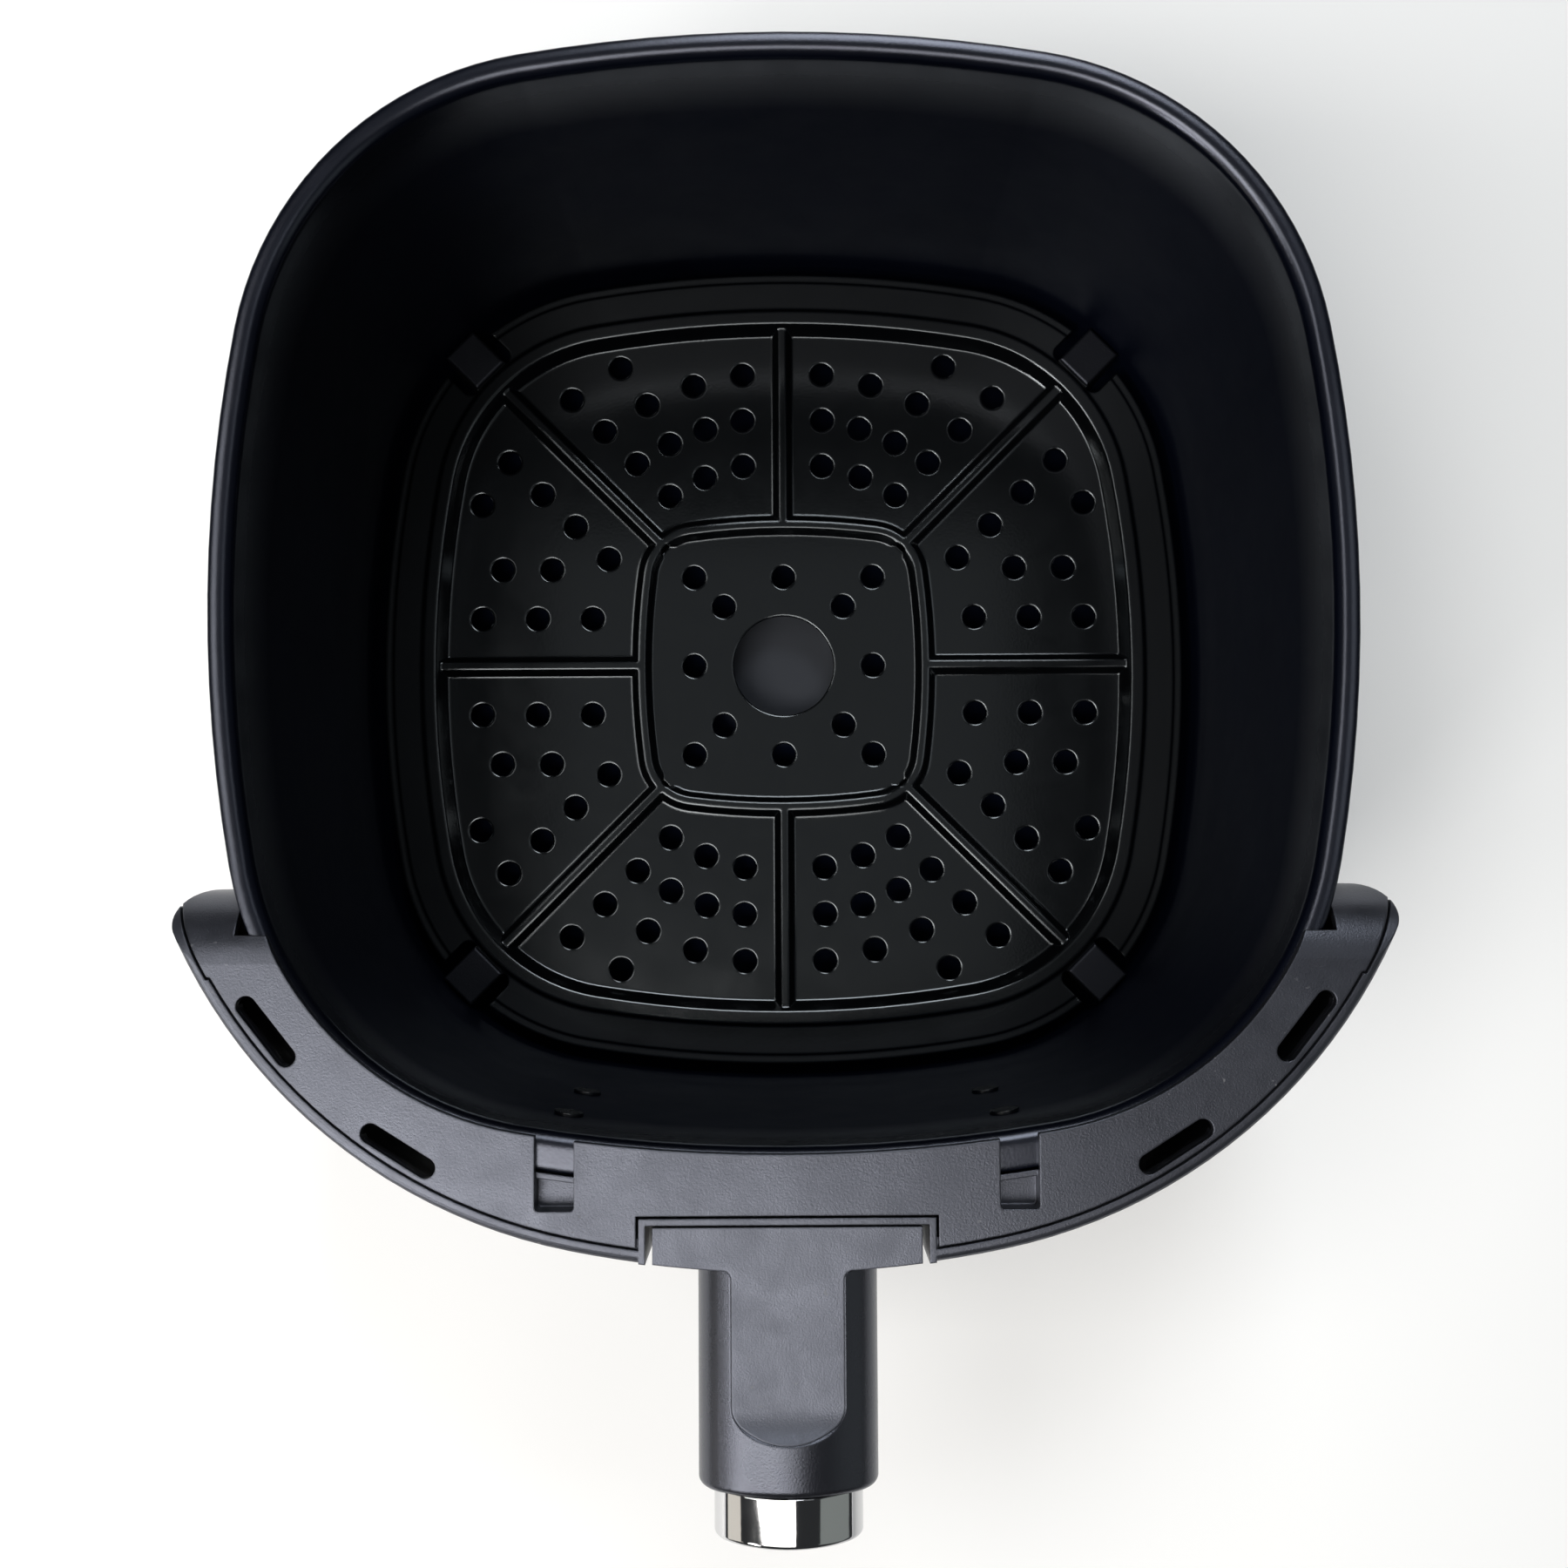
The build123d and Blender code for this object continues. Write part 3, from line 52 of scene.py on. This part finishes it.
# --- node trees ---
class Tree:
    """Short calls for building a node tree."""

    def __init__(self, tree):
        self.tree = tree
        tree.nodes.clear()

    def add(self, kind, **values):
        """A node; values are its properties by name."""
        node = self.tree.nodes.new(kind)
        for name, value in values.items():
            setattr(node, name, value)
        return node

    def link(self, a, b):
        self.tree.links.new(a, b)

    def math(self, operation, a, b=0.0, c=None, clamp=False):
        """Result of a math node; each input is a number or a socket."""
        node = self.add("ShaderNodeMath", operation=operation, use_clamp=clamp)
        for i, value in enumerate((a, b) if c is None else (a, b, c)):
            self.put(node.inputs[i], value)
        return node.outputs[0]

    def put(self, socket, value):
        """Links another socket to an input, or sets the input to a number or colour."""
        if hasattr(value, "is_linked"):
            self.link(value, socket)
        else:
            socket.default_value = value

    def noise(self, coords, scale, detail=2.0, rough=0.5, distortion=0.0):
        node = self.add("ShaderNodeTexNoise")
        self.link(coords, node.inputs["Vector"])
        node.inputs["Scale"].default_value = scale
        node.inputs["Detail"].default_value = detail
        node.inputs["Roughness"].default_value = rough
        node.inputs["Distortion"].default_value = distortion
        return node.outputs[0]

    def split(self, vector):
        node = self.add("ShaderNodeSeparateXYZ")
        self.link(vector, node.inputs[0])
        return node.outputs

    def length(self, x, y):
        """Length of the vector x, y."""
        squares = self.math("ADD", self.math("MULTIPLY", x, x), self.math("MULTIPLY", y, y))
        return self.math("SQRT", squares)

    def map_range(self, value, low, high, to_low, to_high):
        node = self.add("ShaderNodeMapRange")
        self.link(value, node.inputs[0])
        for i, number in enumerate((low, high, to_low, to_high)):
            node.inputs[i + 1].default_value = number
        return node.outputs[0]

    def mix(self, factor, a, b):
        node = self.add("ShaderNodeMix", data_type="RGBA")
        self.put(node.inputs[0], factor)
        for socket, colour in ((node.inputs[6], a), (node.inputs[7], b)):
            self.put(socket, (*colour, 1.0) if isinstance(colour, tuple) else colour)
        return node.outputs[2]


# Scales of the noise patterns, per metre
CLOUD_SCALE = 38.0
SMUDGE_SCALE = 95.0
SPECK_SCALE = 700.0
PATCH_SCALE = 24.0
GRAIN_HEIGHT = 0.0001
GLOW_ABOVE = (0.0003, 0.0009)       # heights between which the painted glow, a lighter disc on the pan's floor, sets in and fades, under the crisper tray
GLOW_BELOW = (0.011, 0.012)         # and fades, under the crisper tray


def surface(
    name, colour, dark, rough, grain, edge, metal=0.0, specular=0.5, tint=(1, 1, 1), smudge=0.04,
    deep=None, samples=6, dust=0.0,
):
    """Procedural finish: base colour between two tones, grain bump, rounded edges, uneven gloss.

    grain is the scale and strength of the bump, edge the radius of the rounded edges. deep is for the
    pan: two heights between which the rim's gloss changes to the inside's roughness and to a dim
    specular tint, painted shade that darkens the reflections deep inside the pan, then the radius and
    colour of a lighter disc on its floor, a painted glow. dust is the grey level of light specks in patches.
    """
    material = bpy.data.materials.new(name)
    material.use_nodes = True
    t = Tree(material.node_tree)
    out = t.add("ShaderNodeOutputMaterial")
    shader = t.add("ShaderNodeBsdfPrincipled")
    t.link(shader.outputs[0], out.inputs[0])
    coords = t.add("ShaderNodeTexCoord").outputs["Object"]
    cloud = t.noise(coords, CLOUD_SCALE, 4.0, 0.55)
    fine = t.noise(coords, grain[0], 2.0, 0.6)
    uneven = t.noise(coords, SMUDGE_SCALE, 5.0, 0.6, 0.4)
    gloss = t.map_range(uneven, 0.3, 0.75, rough - smudge, rough + smudge)
    base = t.mix(t.map_range(cloud, 0.3, 0.7, 0.0, 1.0), dark, colour)
    if deep:
        low, high, inner_shade_tint, inner_rough, glow_radius, glow_colour = deep
        x, y, z = t.split(coords)
        near_rim = t.map_range(z, low, high, 0.0, 1.0)
        gloss = t.math("ADD", gloss, t.map_range(z, low, high, inner_rough - rough, 0.0))
        # painted shade: the specular tint dims from the rim's blue cast to a dark tint deep inside the pan,
        # darkening its reflections there
        t.link(t.mix(near_rim, inner_shade_tint, tint), shader.inputs["Specular Tint"])
        # painted glow: a lighter base colour on the pan's floor under the finger hole, standing in for the
        # soft light seen there
        spot = t.map_range(t.length(x, y), glow_radius * 0.7, glow_radius, 1.0, 0.0)
        above = t.map_range(z, *GLOW_ABOVE, 0.0, 1.0)
        below = t.map_range(z, *GLOW_BELOW, 1.0, 0.0)
        painted_glow = t.math("MULTIPLY", spot, t.math("MULTIPLY", above, below))
        base = t.mix(painted_glow, base, glow_colour)
    if dust:
        specks = t.map_range(t.noise(coords, SPECK_SCALE, 1.0, 0.5), 0.735, 0.775, 0.0, 1.0)
        patches = t.map_range(t.noise(coords, PATCH_SCALE, 2.0, 0.5), 0.50, 0.62, 0.0, 1.0)
        dusty = t.math("MULTIPLY", specks, patches)
        base = t.mix(dusty, base, (dust, dust, dust))
        gloss = t.math("MULTIPLY_ADD", dusty, 0.3, gloss)
    t.link(base, shader.inputs["Base Color"])
    t.link(gloss, shader.inputs["Roughness"])
    shader.inputs["Metallic"].default_value = metal
    shader.inputs["Specular IOR Level"].default_value = specular
    if not deep:
        shader.inputs["Specular Tint"].default_value = (*tint, 1)
    bevel = t.add("ShaderNodeBevel", samples=samples)
    bevel.inputs["Radius"].default_value = edge
    bump = t.add("ShaderNodeBump")
    bump.inputs["Strength"].default_value = grain[1]
    bump.inputs["Distance"].default_value = GRAIN_HEIGHT
    t.link(fine, bump.inputs["Height"])
    t.link(bevel.outputs[0], bump.inputs["Normal"])
    t.link(bump.outputs[0], shader.inputs["Normal"])
    return material


BLUE = (0.80, 0.84, 1.0)            # cast of the reflections on the dark pieces
MATERIALS = {
    "pan_coating": surface(
        "pan_coating", (0.0012, 0.0018, 0.0048), (0.0008, 0.0012, 0.0034), 0.22, (1500.0, 0.12), 0.0019,
        specular=0.75, tint=BLUE, smudge=0.02,
        # deep: heights, dark inner specular tint (painted shade), inner roughness, then radius and colour of
        # the painted glow on the floor
        deep=(0.106, 0.124, (0.05, 0.07, 0.16), 0.60, 0.022, (0.040, 0.042, 0.044)), samples=14,
    ),
    "tray_coating": surface(
        "tray_coating", (0.0014, 0.0016, 0.0019), (0.0010, 0.0012, 0.0015), 0.12, (1300.0, 0.08), 0.0011,
        specular=0.95, tint=(0.90, 0.96, 1.0), smudge=0.02, samples=16,
    ),
    "bumper_rubber": surface(
        "bumper_rubber", (0.0030, 0.0033, 0.0045), (0.0022, 0.0025, 0.0034), 0.38, (1800.0, 0.35), 0.0006,
        specular=0.4, tint=BLUE,
    ),
    "cover_plastic": surface(
        "cover_plastic", (0.0095, 0.0098, 0.0120), (0.0052, 0.0055, 0.0070), 0.35, (2600.0, 0.45), 0.0005,
        specular=1.0, tint=BLUE, smudge=0.07, dust=0.08,
    ),
    "fascia_plastic": surface(
        "fascia_plastic", (0.0095, 0.0098, 0.0120), (0.0052, 0.0055, 0.0070), 0.35, (2600.0, 0.45), 0.0005,
        specular=1.0, tint=BLUE, smudge=0.07, dust=0.10,
    ),
    "inner_plastic": surface(
        "inner_plastic", (0.010, 0.010, 0.011), (0.008, 0.008, 0.009), 0.45, (1500.0, 0.4), 0.0004
    ),
    "handle_plastic": surface(
        "handle_plastic", (0.0075, 0.0078, 0.0098), (0.0060, 0.0063, 0.0080), 0.27, (2600.0, 0.45), 0.0005,
        specular=0.8, tint=BLUE, smudge=0.02,
    ),
    "handle_top_plastic": surface(
        "handle_top_plastic", (0.012, 0.0125, 0.015), (0.010, 0.0105, 0.0125), 0.45, (2600.0, 0.5), 0.0005,
        specular=1.40, tint=BLUE, smudge=0.09, dust=0.10,
    ),
    "bright_cap": surface(
        "bright_cap", (0.58, 0.58, 0.58), (0.54, 0.54, 0.55), 0.06, (400.0, 0.05), 0.0004, 1.0, smudge=0.02
    ),
    "plain_steel": surface(
        "plain_steel", (0.55, 0.55, 0.56), (0.46, 0.46, 0.47), 0.34, (900.0, 0.3), 0.0004, 1.0
    ),
    "rivet_metal": surface(
        "rivet_metal", (0.0024, 0.0028, 0.0042), (0.0016, 0.0020, 0.0032), 0.26, (1400.0, 0.3), 0.0004
    ),
}


def node_slot(obj):
    """The record's material slot of a CAD node, from the material that the frame gave it."""
    for slot in obj.material_slots:
        for name in MATERIALS:
            if slot.material and slot.material.name.startswith(name):
                return name
    return None


for obj in NODES.values():
    for slot in obj.material_slots:
        slot.material = MATERIALS[node_slot(obj)]


SAME_PLACE = 1e-6                   # corners nearer than this are one


def node_mesh(node):
    """A CAD node's mesh with its corners joined."""
    bm = bmesh.new()
    bm.from_mesh(NODES[node].data)
    bmesh.ops.remove_doubles(bm, verts=bm.verts, dist=SAME_PLACE)
    return bm


def new_piece(name, bm, slot, sharp_angle):
    """An object from bm, smooth but for edges over sharp_angle degrees."""
    mesh = bpy.data.meshes.new(name)
    bm.to_mesh(mesh)
    bm.free()
    if "custom_normal" in mesh.attributes:
        mesh.attributes.remove(mesh.attributes["custom_normal"])
    for polygon in mesh.polygons:
        polygon.use_smooth = True
    mesh.set_sharp_from_angle(angle=math.radians(sharp_angle))
    mesh.materials.clear()
    mesh.materials.append(MATERIALS[slot])
    obj = bpy.data.objects.new(name, mesh)
    SCENE.collection.objects.link(obj)
    return obj


# --- crisper tray ---
BEAD_START = 0.0396                 # inner end of a diagonal bead, from the tray's middle
BEAD_HALF = 0.0028                  # more than half the bead's foot
BEAD_STEP = (0.001, 0.009)          # least and most that an end corner moves outward
ON_LINE = 1e-5


def along_line(points, point):
    """Where the corner next outward from a bead's inner end lies, along the same edge; None without one."""
    least, most = BEAD_STEP
    ahead = [
        q.x
        for q in points
        if least < q.x - point.x < most and abs(q.y - point.y) < ON_LINE and abs(q.z - point.z) < ON_LINE
    ]
    return min(ahead) if ahead else None


def between(ends, point):
    """The same for a corner part way along the end's edge, from that edge's two moved corners."""
    best = None
    for a, x_a in ends:
        for b, x_b in ends:
            if a.z < point.z < b.z and a.y * b.y > 0 and a.y * point.y > 0:
                share = (point.z - a.z) / (b.z - a.z)
                miss = abs(a.y + share * (b.y - a.y) - point.y)
                if best is None or miss < best[0]:
                    best = (miss, x_a + share * (x_b - x_a))
    return best[1]


def crisper_tray():
    """The tray with its diagonal beads ending at the bead round the centre panel."""
    bm = node_mesh("crisper_tray")
    for turn in (45, 135, 225, 315):
        spin = Matrix.Rotation(math.radians(turn), 4, "Z")
        points = {v: spin.inverted() @ v.co for v in bm.verts}
        ends = [v for v, p in points.items() if abs(p.x - BEAD_START) < ON_LINE and abs(p.y) < BEAD_HALF]
        places = {v: along_line(points.values(), points[v]) for v in ends}
        known = [(points[v], x) for v, x in places.items() if x is not None]
        for v, x in places.items():
            y, z = points[v].y, points[v].z
            v.co = spin @ Vector((between(known, points[v]) if x is None else x, y, z))
    bmesh.ops.remove_doubles(bm, verts=bm.verts, dist=SAME_PLACE)
    bmesh.ops.dissolve_degenerate(bm, dist=SAME_PLACE, edges=bm.edges)
    obj = new_piece("crisper_tray_pressed", bm, "tray_coating", 28)
    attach(obj, "tray")
    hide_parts("crisper_tray")


crisper_tray()


# --- screws ---
SCREW_SIDES = 24
THREAD_PITCH = 0.0009
FIRST_TURN, NEXT_TURN = 17, 41      # degrees, so no two recesses stand alike
END_REACH = 0.0005                  # corners this near a screw's end belong to it


def middle(points):
    """Mean of the points, rounded so that their order is the same in each run."""
    return tuple(round(sum(p[i] for p in points) / len(points), 5) for i in range(3))


def islands(node):
    """Corner points of each separate solid of a CAD node."""
    bm = node_mesh(node)
    left = set(bm.verts)
    groups = []
    while left:
        stack = [left.pop()]
        group = []
        while stack:
            vert = stack.pop()
            group.append(vert.co.copy())
            for edge in vert.link_edges:
                other = edge.other_vert(vert)
                if other in left:
                    left.discard(other)
                    stack.append(other)
        groups.append(group)
    bm.free()
    return sorted(groups, key=middle)


def ring(bm, place, radius, depth):
    """Circle of corners, depth below the head's top."""
    return [
        bm.verts.new(place @ Vector((radius * math.cos(a), radius * math.sin(a), -depth)))
        for a in (2 * math.pi * i / SCREW_SIDES for i in range(SCREW_SIDES))
    ]


def bridge(bm, upper, lower):
    """Band of faces between two rings."""
    count = len(upper)
    for i in range(count):
        j = (i + 1) % count
        bm.faces.new((upper[i], lower[i], lower[j], upper[j]))


def cross(bm, place, reach, half_width, depth):
    """Twelve corners of a cross, counter-clockwise from above, depth below the head's top."""
    corners = []
    for turn in range(4):
        spin = Matrix.Rotation(turn * math.pi / 2, 4, "Z")
        for x, y in ((half_width, -half_width), (reach, -half_width), (reach, half_width)):
            corners.append(bm.verts.new(place @ spin @ Vector((x, y, -depth))))
    return corners


def screw(bm, place, radius, head_radius, head_thick, length):
    """Thread-forming screw with a domed head and a cross recess.

    The top of its head is at place and its tip is length below. The profile is radius and depth.
    """
    profile = [
        (head_radius * 0.66, 0.0),
        (head_radius * 0.86, head_thick * 0.10),
        (head_radius * 0.97, head_thick * 0.32),
        (head_radius, head_thick * 0.60),
        (head_radius, head_thick),
        (radius * 0.86, head_thick),
    ]
    depth = head_thick + THREAD_PITCH
    while depth < length - 2.5 * THREAD_PITCH:
        profile += [(radius * 0.80, depth), (radius * 0.99, depth + THREAD_PITCH * 0.5)]
        depth += THREAD_PITCH
    profile += [(radius * 0.75, depth), (radius * 0.22, length - 0.0001)]
    rings = [ring(bm, place, r, d) for r, d in profile]
    for upper, lower in zip(rings, rings[1:]):
        bridge(bm, upper, lower)
    bm.faces.new(list(reversed(rings[-1])))
    edge = cross(bm, place, head_radius * 0.56, head_radius * 0.13, 0.0)
    foot = cross(bm, place, head_radius * 0.34, head_radius * 0.08, head_thick * 0.65)
    for i in range(len(edge)):
        j = (i + 1) % len(edge)
        bm.faces.new((edge[i], edge[j], foot[j], foot[i]))
    bm.faces.new(foot)
    rim = [
        bm.edges.get(pair)
        for corners in (rings[0], edge)
        for pair in zip(corners, corners[1:] + corners[:1])
    ]
    bmesh.ops.triangle_fill(bm, use_beauty=True, use_dissolve=False, edges=rim)
    bmesh.ops.recalc_face_normals(bm, faces=bm.faces)


def screws(node, slot, body):
    """Detailed screws in the places of a CAD node's plain ones."""
    bm = bmesh.new()
    for number, points in enumerate(islands(node)):
        low = Vector([min(p[i] for p in points) for i in range(3)])
        high = Vector([max(p[i] for p in points) for i in range(3)])
        size = high - low
        axis = max(range(3), key=lambda i: size[i])
        centre = (low + high) / 2
        across = [i for i in range(3) if i != axis]

        def reach(end):
            """Radius of the screw at one of its ends."""
            near = [p for p in points if abs(p[axis] - end) < END_REACH]
            return max(math.hypot(*(p[i] - centre[i] for i in across)) for p in near)

        up = reach(high[axis]) > reach(low[axis])
        head_radius = max(size[i] for i in across) / 2
        top = centre.copy()
        top[axis] = high[axis] if up else low[axis]
        direction = Vector([0, 0, 0])
        direction[axis] = 1.0 if up else -1.0
        turn = direction.to_track_quat("Z", "Y").to_matrix().to_4x4()
        spin = Matrix.Rotation(math.radians(FIRST_TURN + NEXT_TURN * number), 4, "Z")
        radius = min(reach(low[axis]), reach(high[axis]))
        screw(bm, Matrix.Translation(top) @ turn @ spin, radius, head_radius, head_radius * 2 / 3, size[axis])
    obj = new_piece(node + "_cross", bm, slot, 35)
    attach(obj, body)
    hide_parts(node)


for name in ("mount_screws", "end_screws", "bottom_screws", "grip_screws"):
    screws(name, "plain_steel", "drawer")


# --- floor, world, lights, camera ---
FLOOR_HALF = 12.0
FLOOR_LEVEL = -0.0001               # just under the pan's base, so that the two don't coincide
FLOOR_NEAR, FLOOR_FAR = 0.7, 3.0    # the floor fades to white between these distances
LAMP_DISTANCE = 1.2
AIM_HEIGHT = 0.1
AMBIENT = 0.04                      # strength of the world and of the near floor's own glow


def floor():
    """Pale floor that keeps the shadow, and fades to white away from the object."""
    corners = [(x * FLOOR_HALF, y * FLOOR_HALF, FLOOR_LEVEL) for x, y in ((-1, -1), (1, -1), (1, 1), (-1, 1))]
    mesh = bpy.data.meshes.new("floor")
    mesh.from_pydata(corners, [], [(0, 1, 2, 3)])
    obj = bpy.data.objects.new("floor", mesh)
    SCENE.collection.objects.link(obj)
    material = bpy.data.materials.new("floor")
    material.use_nodes = True
    t = Tree(material.node_tree)
    out = t.add("ShaderNodeOutputMaterial")
    diffuse = t.add("ShaderNodeBsdfDiffuse")
    diffuse.inputs["Color"].default_value = (0.90, 0.90, 0.90, 1)
    glow = t.add("ShaderNodeEmission")
    path = t.add("ShaderNodeLightPath")
    seen = t.math("MAXIMUM", path.outputs["Is Camera Ray"], path.outputs["Is Glossy Ray"])
    seen = t.math("MAXIMUM", seen, path.outputs["Is Transmission Ray"])
    x, y, _ = t.split(t.add("ShaderNodeTexCoord").outputs["Object"])
    fade = t.map_range(t.length(x, y), FLOOR_NEAR, FLOOR_FAR, AMBIENT, 0.95)
    t.link(t.math("MULTIPLY", seen, fade), glow.inputs["Strength"])
    both = t.add("ShaderNodeAddShader")
    t.link(diffuse.outputs[0], both.inputs[0])
    t.link(glow.outputs[0], both.inputs[1])
    t.link(both.outputs[0], out.inputs[0])
    mesh.materials.append(material)


def world():
    """Dim surroundings that the camera sees as white."""
    studio = bpy.data.worlds.new("studio")
    SCENE.world = studio
    studio.use_nodes = True
    t = Tree(studio.node_tree)
    out = t.add("ShaderNodeOutputWorld")
    back = t.add("ShaderNodeBackground")
    back.inputs["Color"].default_value = (0.9, 0.95, 1.0, 1)
    path = t.add("ShaderNodeLightPath")
    strength = t.math("MULTIPLY_ADD", path.outputs["Is Camera Ray"], 1.0 - AMBIENT, AMBIENT)
    t.link(strength, back.inputs["Strength"])
    t.link(back.outputs[0], out.inputs[0])


def softbox(name, x_tilts, y_tilts, radiance, colour):
    """Panel of the studio's ceiling between two tilts from the vertical, in degrees, along each axis."""
    left, right = (LAMP_DISTANCE * math.tan(math.radians(tilt)) for tilt in x_tilts)
    front, back = (LAMP_DISTANCE * math.tan(math.radians(tilt)) for tilt in y_tilts)
    light = bpy.data.lights.new(name, "AREA")
    light.shape = "RECTANGLE"
    light.size, light.size_y = right - left, back - front
    light.energy = math.pi * light.size * light.size_y * radiance
    light.color = colour
    obj = bpy.data.objects.new(name, light)
    SCENE.collection.objects.link(obj)
    obj.location = ((left + right) / 2, (front + back) / 2, LAMP_DISTANCE + AIM_HEIGHT)


def window(name, azimuth, tilt, size, radiance, colour):
    """Panel that faces the object, its middle tilt degrees from the vertical."""
    light = bpy.data.lights.new(name, "AREA")
    light.shape = "SQUARE"
    light.size = size
    light.energy = math.pi * size**2 * radiance
    light.color = colour
    obj = bpy.data.objects.new(name, light)
    SCENE.collection.objects.link(obj)
    turn, lean = math.radians(azimuth), math.radians(tilt)
    across = LAMP_DISTANCE * math.sin(lean)
    height = AIM_HEIGHT + LAMP_DISTANCE * math.cos(lean)
    place = Vector((across * math.cos(turn), across * math.sin(turn), height))
    obj.location = place
    obj.rotation_euler = (Vector((0, 0, AIM_HEIGHT)) - place).to_track_quat("-Z", "Y").to_euler()


def camera():
    """The photograph's view, from nearly straight above."""
    data = bpy.data.cameras.new("camera")
    data.lens = 37.0
    data.sensor_width = 36.0
    data.clip_start = 0.01
    obj = bpy.data.objects.new("camera", data)
    SCENE.collection.objects.link(obj)
    obj.location = (-0.000577, -0.059497, 0.463159)
    obj.rotation_euler = [math.radians(v) for v in (2.6139, -0.0463, -0.3087)]
    data.shift_y = 0.01322
    SCENE.camera = obj


floor()
world()
softbox("key", (-54, -5), (-32, -12), 8.4, (1.0, 0.98, 0.95))
softbox("key_edge", (-5, 8), (-34, -13), 4.8, (1.0, 0.98, 0.95))
softbox("left", (-33, -20), (-6, 20), 4.0, (1.0, 0.99, 0.97))
softbox("ceiling", (-12, 12), (-9, 15), 0.17, (0.95, 0.98, 1.0))
softbox("back", (-5, 20), (28, 56), 7.8, (0.93, 0.97, 1.0))
softbox("right", (19, 30), (-5, 18), 1.2, (0.93, 0.97, 1.0))
window("front_left", 228, 56, 0.22, 18.0, (1.0, 0.98, 0.96))
window("low_left", 209, 74, 0.40, 1.0, (1.0, 0.94, 0.84))
window("low_right", -28, 62, 0.70, 0.30, (0.92, 1.0, 0.95))
camera()

SCENE.view_settings.view_transform = "Standard"
